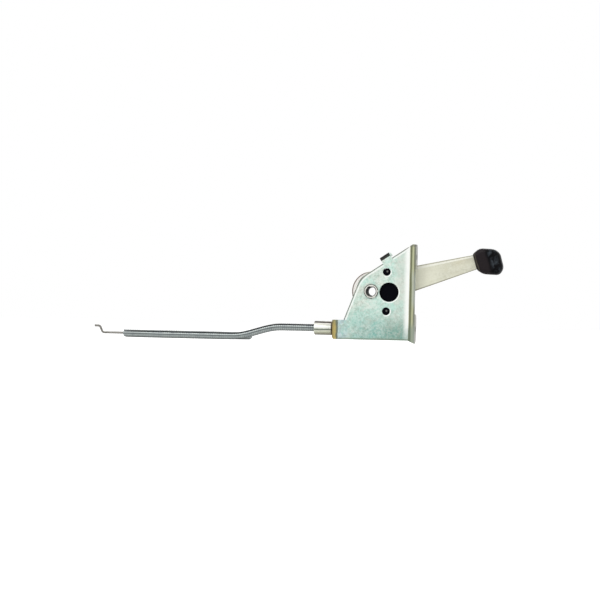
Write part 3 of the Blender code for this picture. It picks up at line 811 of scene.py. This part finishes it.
def windConduit(c):
    # radius falls from crest to groove once a winding, and each winding leads into the next
    route = evenRoute(conduitRoute(c), c["step"], c["blur"])
    reach = reachAlong(route)
    up, across = framesAlong(route)
    length = reach[-1]
    turns = int(round(length / c["pitch"]))
    pitch = length / turns
    per, sides = c["perWinding"], c["sides"]
    rows = (turns + 1) * per + 1
    i, j = np.meshgrid(np.arange(rows), np.arange(sides), indexing="ij")
    phase = i / per + j / sides - 1
    along = np.clip(phase * pitch, 0, length)
    angle = 2 * np.pi * j / sides
    lift = np.abs(np.sin(np.pi * phase)) ** c["roundness"]
    lift = np.where((along <= 0) | (along >= length), 0.5, lift)
    radius = c["diameter"] / 2 - c["depth"] * (1 - lift)

    def at(values, s):
        return np.stack([np.interp(s, reach, values[:, k]) for k in range(3)], -1)

    def ringAt(s, turn):
        return np.cos(turn)[..., None] * at(across, s) + np.sin(turn)[..., None] * at(up, s)

    outer = at(route, along) + radius[..., None] * ringAt(along, angle)
    start = np.arange(rows - 1)[:, None]
    side = np.arange(sides)[None, :]
    wrap = side == sides - 1
    nextSide = np.where(wrap, 0, side + 1)
    low = np.where(wrap, np.minimum(start + per, rows - 1), start)
    high = np.where(wrap, np.minimum(start + 1 + per, rows - 1), start + 1)
    quads = np.stack(
        np.broadcast_arrays(
            start * sides + side,
            low * sides + nextSide,
            high * sides + nextSide,
            (start + 1) * sides + side,
        ),
        -1,
    ).reshape(-1, 4)
    borePlace, boreTurn = np.meshgrid(np.linspace(0, length, c["boreRings"]), angle[0], indexing="ij")
    inner = at(route, borePlace) + ringAt(borePlace, boreTurn) * c["bore"] / 2
    first = outer.size // 3
    innerQuads = np.array(gridFaces(len(inner), sides)) + first
    ends = []
    for outerRow, innerRow in ((0, 0), (rows - 1, len(inner) - 1)):
        a = outerRow * sides + np.arange(sides)
        b = first + innerRow * sides + np.arange(sides)
        ends.append(np.stack([a, np.roll(a, -1), np.roll(b, -1), b], 1))
    faces = np.concatenate([quads, innerQuads, *ends])
    points = np.concatenate([outer.reshape(-1, 3), inner.reshape(-1, 3)])
    hidden = np.zeros(inner.size // 3)
    facing = np.clip(c["facing"][0] * ringAt(along, angle)[..., 1] + c["facing"][1], 0, 1)
    marks = {
        "crest": np.concatenate([lift.reshape(-1), hidden]),
        "upward": np.concatenate([np.sin(angle).reshape(-1) / 2 + 0.5, hidden]),
        "front": np.concatenate([facing.reshape(-1), hidden]),
    }
    return points, faces.tolist(), marks, route, length


def makeConduit(c):
    # the wound surface as one mesh along its line, in place of the conduit's own pieces
    points, faces, marks, route, length = windConduit(c)
    piece = addPiece(
        "conduit", points, faces, conduitFinish, "bracket_body", None, marks
    )
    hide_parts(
        "conduit_start", "conduit_run", "conduit_coil", "conduit_tail", "conduit_end"
    )
    print("conduit wound, metres:", round(length, 4))


studio = {
    "lamps": {  # place, size and power
        "key": ((-0.7, -1.2, 1.3), 0.8, 13),
        "fill": ((1.2, -1.1, 0.7), 1.2, 4),
        "rear": ((0.2, 1.4, 1.1), 1.2, 5),
    },
    "target": (-0.04, 0, 0.03),
    "roomLight": 0.6,  # share of the white that the eye and reflections see
    "floorSize": 12,
    "floorBack": 3.0,  # the floor's middle, behind the control
    "floorGap": 0.00002,
    "paper": (0.93, 0.93, 0.93, 1),
    "glow": 0.48,
}


def makeStudio(s):
    # three soft lamps, and a white room that lights the object less than it shows
    scene = bpy.context.scene
    target = Vector(s["target"])
    for name, (place, size, power) in s["lamps"].items():
        light = bpy.data.lights.new(name, "AREA")
        light.shape = "DISK"
        light.size = size
        light.energy = power
        lamp = bpy.data.objects.new(name, light)
        lamp.location = place
        lamp.rotation_euler = (target - Vector(place)).to_track_quat("-Z", "Y").to_euler()
        scene.collection.objects.link(lamp)
    world = bpy.data.worlds.new("studio")
    world.use_nodes = True
    scene.world = world
    tree = world.node_tree
    back = tree.nodes["Background"]
    back.inputs["Color"].default_value = (1, 1, 1, 1)
    seen = Value(tree).add("ShaderNodeLightPath", output="Is Camera Ray")
    for ray in ("Is Glossy Ray", "Is Transmission Ray"):
        seen = seen.math("MAXIMUM", seen, seen.add("ShaderNodeLightPath", output=ray))
    strength = seen * (1 - s["roomLight"]) + s["roomLight"]
    tree.links.new(strength.socket, back.inputs["Strength"])
    scene.view_settings.view_transform = "Standard"


def makeFloor(s):
    # pale paper that stays white to the eye and keeps the shadow
    place = (0, s["floorBack"], control["floor"] - s["floorGap"])
    bpy.ops.mesh.primitive_plane_add(size=s["floorSize"], location=place)
    floor = bpy.context.object
    floor.name = "floor"
    material = bpy.data.materials.new("paper")
    material.use_nodes = True
    tree = material.node_tree
    shader = tree.nodes["Principled BSDF"]
    shader.inputs["Base Color"].default_value = s["paper"]
    shader.inputs["Roughness"].default_value = 0.9
    shader.inputs["Specular IOR Level"].default_value = 0.1
    shader.inputs["Emission Strength"].default_value = 1
    eye = Value(tree).add("ShaderNodeLightPath", output="Is Camera Ray")
    tree.links.new((eye * s["glow"]).socket, shader.inputs["Emission Color"])
    floor.data.materials.append(material)


makeStudio(studio)
makeFloor(studio)
print("studio lit")


easing = {  # angles in degrees
    "flat": 0.6,  # faces that meet flatter than this become one
    "smooth": 32,
    "sharp": 40,
    "segments": 3,
}


def dressNode(node, name, finish, edge, body):
    # the node's own sheet, merged, with its edges eased and its bends shaded smooth
    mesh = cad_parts[node].data.copy()
    mesh.name = name
    shape = bmesh.new()
    shape.from_mesh(mesh)
    bmesh.ops.remove_doubles(shape, verts=shape.verts, dist=2e-6)
    bmesh.ops.dissolve_limit(
        shape,
        angle_limit=math.radians(easing["flat"]),
        verts=shape.verts,
        edges=shape.edges,
        use_dissolve_boundaries=False,
    )
    shape.to_mesh(mesh)
    shape.free()
    mesh.materials.clear()
    mesh.materials.append(finish)
    mesh.shade_smooth()
    mesh.set_sharp_from_angle(angle=math.radians(easing["smooth"]))
    piece = bpy.data.objects.new(name, mesh)
    bpy.context.scene.collection.objects.link(piece)
    bevel = piece.modifiers.new("easedEdge", "BEVEL")
    bevel.width = edge
    bevel.segments = easing["segments"]
    bevel.limit_method = "ANGLE"
    bevel.angle_limit = math.radians(easing["sharp"])
    bevel.harden_normals = True
    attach(piece, body)
    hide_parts(node)


dressNode("bracket", "bracketSheet", zincPlateFinish, 0.00035, "bracket_body")
dressNode("throttle_lever", "leverSheet", zincLeverFinish, 0.00022, "lever_body")
dressNode("friction_pad", "padMoulding", padFinish, 0.0002, "bracket_body")
print("sheet pieces dressed")

knob = {
    "start": 0.0723,  # along the arm from the pivot
    "depth": 0.014,
    "armDepth": 0.0155,
    "corners": [
        (0, -0.0055, 0.0016),
        (0.0034, -0.0094, 0.0025),
        (0.0137, -0.0128, 0.003),
        (0.0178, -0.009, 0.003),
        (0.018, 0.0014, 0.003),
        (0.0152, 0.0051, 0.0024),
        (0.0056, 0.0083, 0.003),
        (0, 0.0056, 0.0013),
    ],
    "middle": (0.0096, -0.003),
    "round": 0.0034,
    "ridge": 0.0092,  # past the neck, where the front facets meet
    "crown": 0.0007,
    "points": 128,
}


def makeKnob(k):
    # rings of the outline, drawn in along a quarter circle and then to the middle of each face
    outline = roundCorners(k["corners"], 8)
    loop = np.concatenate([outline, outline[:1]])
    reach = reachAlong(loop)
    marks = np.linspace(0, reach[-1], k["points"], endpoint=False)
    ring = np.stack([np.interp(marks, reach, loop[:, i]) for i in (0, 1)], 1)
    middle = np.array(k["middle"])
    spoke = ring - middle
    size = np.linalg.norm(spoke, axis=1)[:, None]
    bend = np.linspace(0, np.pi / 2, 9)
    drawn = k["round"] * (1 - np.cos(bend))
    depth = k["depth"] / 2 - k["round"] + k["round"] * np.sin(bend)
    share = 1 - drawn[None, :, None] / size[:, None]
    side = middle + spoke[:, None] * share
    inward = np.linspace(1, 0, 9)[1:-1]
    face = middle + (side[:, -1:] - middle) * inward[None, :, None]
    half = np.concatenate([side, face], 1).transpose(1, 0, 2)
    level = np.concatenate([depth, np.full(len(inward), k["depth"] / 2)])
    level = np.broadcast_to(level[:, None], half.shape[:2]).copy()
    inner = np.clip((level - depth[0]) / k["round"], 0, 1)
    ridge = 1 - np.abs(half[..., 0] - k["ridge"]) / k["ridge"]
    front = -(level + k["crown"] * inner * ridge)
    flat = np.concatenate([half[::-1], half])
    deep = np.concatenate([front[::-1], level])
    count = k["points"]
    tips = np.array([[middle[0], middle[1]]] * 2)
    u = np.concatenate([flat[..., 0].reshape(-1), tips[:, 0]]) + k["start"]
    v = np.concatenate([flat[..., 1].reshape(-1), tips[:, 1]]) + control["armRise"]
    y = np.concatenate([deep.reshape(-1), [deep[0].mean(), deep[-1].mean()]]) + k["armDepth"]
    c, s = math.cos(control["armAngle"]), math.sin(control["armAngle"])
    points = np.stack([u * c - v * s, y, u * s + v * c + control["pivotHeight"]], 1)
    rows = len(flat)
    faces = gridFaces(rows, count)
    around = np.arange(count)
    beside, last = np.roll(around, -1), (rows - 1) * count
    tip = np.full(count, rows * count)
    faces += np.stack([tip, around, beside], 1).tolist()
    faces += np.stack([tip + 1, last + beside, last + around], 1).tolist()
    piece = addPiece("knobMoulded", points, faces, knobFinish, "lever_body", 60)
    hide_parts("lever_knob")


makeKnob(knob)
print("knob moulded")

rivet = {
    "bore": 0.0032,
    "boreEnd": 0.0028,  # drawn in a little where the tube was rolled over
    "tube": 0.004,
    "head": 0.0049,
    "headFront": -0.0021,
    "plateFront": -0.0013,
    "rollFront": 0.0093,
    "rollEnd": 0.0101,
    "roll": 0.0056,
}


def makeRivet(r):
    # hollow rivet: domed head, tube, rolled end
    section = roundCorners([
        (r["bore"], r["headFront"], 0.0004),
        (r["head"], r["headFront"], 0.00055),
        (r["head"], r["plateFront"], 0.0001),
        (r["tube"], r["plateFront"], 0),
        (r["tube"], r["rollFront"], 0),
        (r["roll"], r["rollFront"], 0.0001),
        (r["roll"], r["rollEnd"], 0.0005),
        (r["boreEnd"], r["rollEnd"], 0.0004),
    ])
    points, faces = turnProfile(section, (0, 0, control["pivotHeight"]), (0, 1, 0))
    piece = addPiece("rivetHollow", points, faces, rivetFinish, "bracket_body")
    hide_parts("pivot_rivet")


ferrule = {
    "left": -0.0394,
    "right": -0.0271,
    "radius": 0.0048,
    "socket": 0.0028,
    "step": -0.029875,
    "neck": 0.0029,
    "neckBore": 0.0013,
    "lipStart": -0.0245,
    "lipEnd": -0.0237,
    "lip": 0.0043,
}


def makeFerrule(f):
    # turned barrel, a neck through the tab and a rolled lip behind it
    section = roundCorners([
        (f["neckBore"], f["step"], 0),
        (f["socket"], f["step"], 0.0001),
        (f["socket"], f["left"], 0.0003),
        (f["radius"], f["left"], 0.0006),
        (f["radius"], f["right"], 0.0008),
        (f["neck"], f["right"], 0.0001),
        (f["neck"], f["lipStart"], 0),
        (f["lip"], f["lipStart"], 0.0003),
        (f["lip"], f["lipEnd"], 0.0004),
        (f["neckBore"], f["lipEnd"], 0.0002),
    ])
    centre = (0, control["cableDepth"], control["cableHeight"])
    points, faces = turnProfile(section, centre, (1, 0, 0))
    piece = addPiece("ferruleTurned", points, faces, ferruleFinish, "bracket_body")
    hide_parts("cable_ferrule")


washers = {
    "bore": 0.0043,
    "outer": 0.0095,
    "flatFront": 0.008,
    "flatBack": 0.009,
    "waveFront": 0.0069,
    "waveThick": 0.0005,
    "wave": 0.0003,
    "waves": 3,
}


def makeWashers(w):
    # a flat ring, and a thin ring whose depth follows a cosine of the angle round the pivot
    centre = (0, 0, control["pivotHeight"])
    flat = roundCorners([
        (w["bore"], w["flatFront"], 0.0002),
        (w["outer"], w["flatFront"], 0.0002),
        (w["outer"], w["flatBack"], 0.0003),
        (w["bore"], w["flatBack"], 0.0002),
    ])
    points, faces = turnProfile(flat, centre, (0, 1, 0))
    piece = addPiece("washerFlat", points, faces, washerFinish, "bracket_body")
    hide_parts("flat_washer")
    back = w["waveFront"] + w["waveThick"]
    thin = roundCorners([
        (w["bore"], w["waveFront"], 0.0001),
        (w["outer"], w["waveFront"], 0.0001),
        (w["outer"], back, 0.0001),
        (w["bore"], back, 0.0001),
    ])
    points, faces = turnProfile(thin, centre, (0, 1, 0))
    angle = np.arctan2(points[:, 2] - centre[2], points[:, 0])
    points[:, 1] += w["wave"] * np.cos(w["waves"] * angle)
    piece = addPiece("washerWave", points, faces, washerFinish, "bracket_body")
    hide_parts("wave_washer")


makeRivet(rivet)
makeFerrule(ferrule)
makeWashers(washers)
print("turned pieces made")


def tubeAlong(route, radius, normal, sides=20):
    # rings round a line that lies in one plane, with both ends rounded off
    tangent = np.gradient(route, axis=0)
    tangent /= np.linalg.norm(tangent, axis=1)[:, None]
    other = np.cross(tangent, normal)
    lap = np.linspace(0.02, np.pi / 2, 6)
    capSize = radius * np.sin(lap) ** 0.6
    capShift = 0.25 * radius * (1 - np.cos(lap))
    count = len(route)
    spots = np.concatenate([np.zeros(6, int), np.arange(1, count - 1), np.full(6, count - 1)])
    size = np.concatenate([capSize, np.full(count - 2, radius), capSize[::-1]])
    shift = np.concatenate([capShift, np.zeros(count - 2), -capShift[::-1]])
    angle = np.linspace(0, 2 * np.pi, sides, endpoint=False)[None, :, None]
    ring = np.cos(angle) * np.array(normal, float) + np.sin(angle) * other[spots][:, None]
    points = route[spots][:, None] + tangent[spots][:, None] * shift[:, None, None]
    points = points + ring * size[:, None, None]
    rows = len(spots)
    around = np.arange(sides)
    ends = [around[::-1].tolist(), ((rows - 1) * sides + around).tolist()]
    return points.reshape(-1, 3), gridFaces(rows, sides) + ends


wire = {
    "radius": 0.0008,
    "innerEnd": -0.042175,
    "hookX": 0.002089,
    "hookDepth": 0.00255,
    "stub": 0.005,
    "farDepth": 0.0937,
    "farRest": 0.0005,
    "farInner": -0.1745,
    "farBend": -0.2046,
    "rise": 0.0048,
    "lean": 0.0021,
    "farStub": 0.0038,
    "bend": 0.0014,
}


def bentLine(corners, bend, step=0.00025):
    # straight runs whose inner corners are eased by a rounding of the given reach
    eased = [np.array(corners[0], float)]
    for before, corner, after in zip(corners, corners[1:], corners[2:]):
        before, corner, after = (np.array(p, float) for p in (before, corner, after))
        into, out = corner - before, after - corner
        reach = min(bend, 0.48 * np.linalg.norm(into), 0.48 * np.linalg.norm(out))
        into, out = into / np.linalg.norm(into), out / np.linalg.norm(out)
        t = np.linspace(0, 1, 9)[:, None]
        start, end = corner - into * reach, corner + out * reach
        eased.extend(start * (1 - t) ** 2 + corner * 2 * t * (1 - t) + end * t**2)
    eased.append(np.array(corners[-1], float))
    return evenRoute(np.array(eased), step)


def makeWires(w):
    # the two ends of one wire: a hook through the crank's slot, and a Z past the conduit's end
    depth, height = control["cableDepth"], control["cableHeight"]
    near = bentLine([
        (w["innerEnd"], depth, height),
        (w["hookX"], depth, height),
        (w["hookX"], w["hookDepth"], height),
        (w["hookX"] + w["stub"], w["hookDepth"], height),
    ], w["bend"])
    points, faces = tubeAlong(near, w["radius"], (0, 0, 1))
    piece = addPiece("wireHook", points, faces, wireFinish, "inner_wire")
    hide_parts("wire_lever_end")
    top = w["farRest"] + w["rise"]
    far = bentLine([
        (w["farInner"], w["farDepth"], w["farRest"]),
        (w["farBend"], w["farDepth"], w["farRest"]),
        (w["farBend"] - w["lean"], w["farDepth"], top),
        (w["farBend"] - w["lean"] - w["farStub"], w["farDepth"], top),
    ], w["bend"])
    points, faces = tubeAlong(far, w["radius"], (0, 1, 0))
    return addPiece("wireZBend", points, faces, wireFinish, "inner_wire")


farWire = makeWires(wire)
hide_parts("wire_carb_end")
print("wires bent")
makeConduit(conduit)
